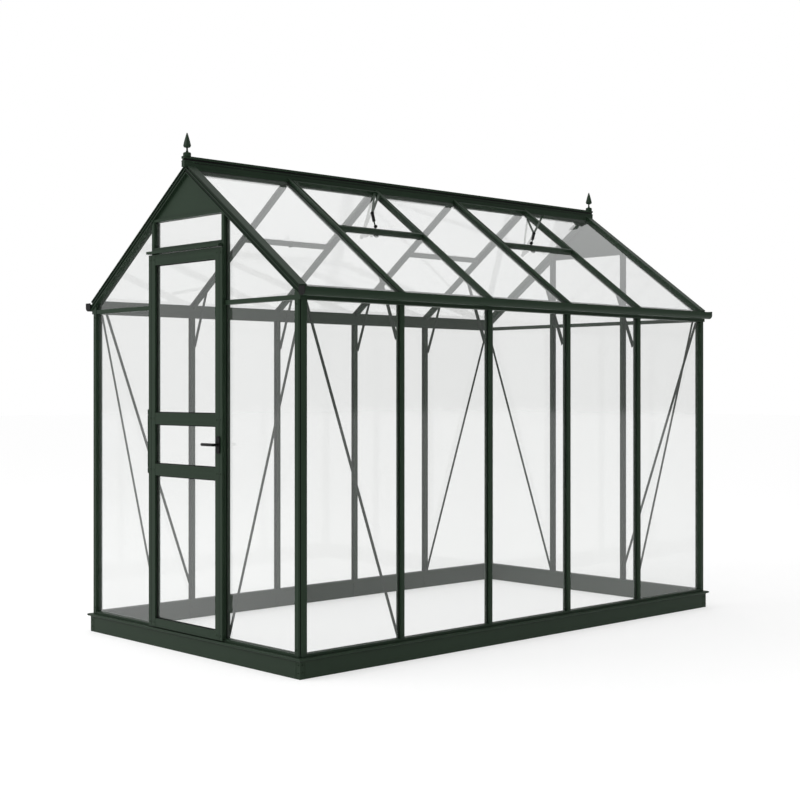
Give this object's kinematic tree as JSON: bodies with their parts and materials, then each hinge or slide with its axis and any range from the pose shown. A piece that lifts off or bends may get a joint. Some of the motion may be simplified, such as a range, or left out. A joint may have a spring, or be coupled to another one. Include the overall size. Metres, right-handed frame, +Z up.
{
  "type": "greenhouse",
  "caption": "Small gable greenhouse: dark green bar frame with clear sheets on a steel plinth, hinged gable door with a lever, roof vents, gutters and ridge finials",
  "frame": {"origin": "centre of the plinth's footprint, on the ground", "axes": "+Z up, +Y along the ridge from the door gable to the back gable, +X to the right as seen facing the door"},
  "size_m": [1.878, 3.2265, 2.5928],
  "materials": {
    "green_aluminium": "satin dark green powder coat",
    "green_steel": "satin dark green powder coat on sheet steel",
    "brace_aluminium": "dark green coated flat bar",
    "hinge_metal": "dark green coated hinge",
    "black_plastic": "matt black moulded plastic",
    "clear_polycarbonate": "clear smooth polycarbonate sheet"
  },
  "bodies": {
    "frame": {"front_base": "green_steel", "back_base": "green_steel", "left_base": "green_steel", "right_base": "green_steel", "front_sill": "green_aluminium", "back_sill": "green_aluminium", "left_sill": "green_aluminium", "right_sill": "green_aluminium", "front_left_post": "green_aluminium", "front_right_post": "green_aluminium", "back_left_post": "green_aluminium", "back_right_post": "green_aluminium", "left_wall_bars": "green_aluminium", "right_wall_bars": "green_aluminium", "left_door_post": "green_aluminium", "right_door_post": "green_aluminium", "back_gable_bars": "green_aluminium", "front_left_rail": "green_aluminium", "front_right_rail": "green_aluminium", "back_rails": "green_aluminium", "front_apex_rail": "green_aluminium", "back_apex_rail": "green_aluminium", "front_apex_panel": "green_aluminium", "back_apex_panel": "green_aluminium", "left_eave_beam": "green_aluminium", "right_eave_beam": "green_aluminium", "left_gutter": "green_aluminium", "right_gutter": "green_aluminium", "gutter_end_caps": "black_plastic", "front_gable_rafters": "green_aluminium", "back_gable_rafters": "green_aluminium", "left_roof_bars": "green_aluminium", "right_roof_bars": "green_aluminium", "ridge_beam": "green_aluminium", "ridge_cap": "green_aluminium", "front_finial": "green_aluminium", "back_finial": "green_aluminium", "left_vent_sills": "green_aluminium", "right_vent_sills": "green_aluminium", "left_vent_frames": "green_aluminium", "right_vent_frames": "green_aluminium", "left_roof_sheets": "clear_polycarbonate", "right_roof_sheets": "clear_polycarbonate", "left_wall_sheets": "clear_polycarbonate", "right_wall_sheets": "clear_polycarbonate", "front_left_sheets": "clear_polycarbonate", "front_right_sheets": "clear_polycarbonate", "back_sheets": "clear_polycarbonate", "door_head_sheet": "clear_polycarbonate", "door_head": "green_aluminium", "post_hinge": "hinge_metal", "wind_braces": "brace_aluminium", "knee_struts": "brace_aluminium"},
    "door": {"door_stiles": "green_aluminium", "door_rails": "green_aluminium", "door_sheets": "clear_polycarbonate", "door_hinge_barrel": "hinge_metal", "handle_plate": "black_plastic"},
    "lever": {"door_lever": "black_plastic"}
  },
  "joints": [
    {"name": "door_hinge", "type": "hinge", "parent": "frame", "child": "door", "pos_m": [-0.326, -1.582, 1], "axis": [0, 0, -1], "range_deg": [0, 100]},
    {"name": "lever_turn", "type": "hinge", "parent": "door", "child": "lever", "pos_m": [0.289, -1.588, 1.046], "axis": [0, -1, 0], "range_deg": [0, 40], "stiffness_Nm_per_rad": 0.4, "springref_deg": -11.46}
  ]
}
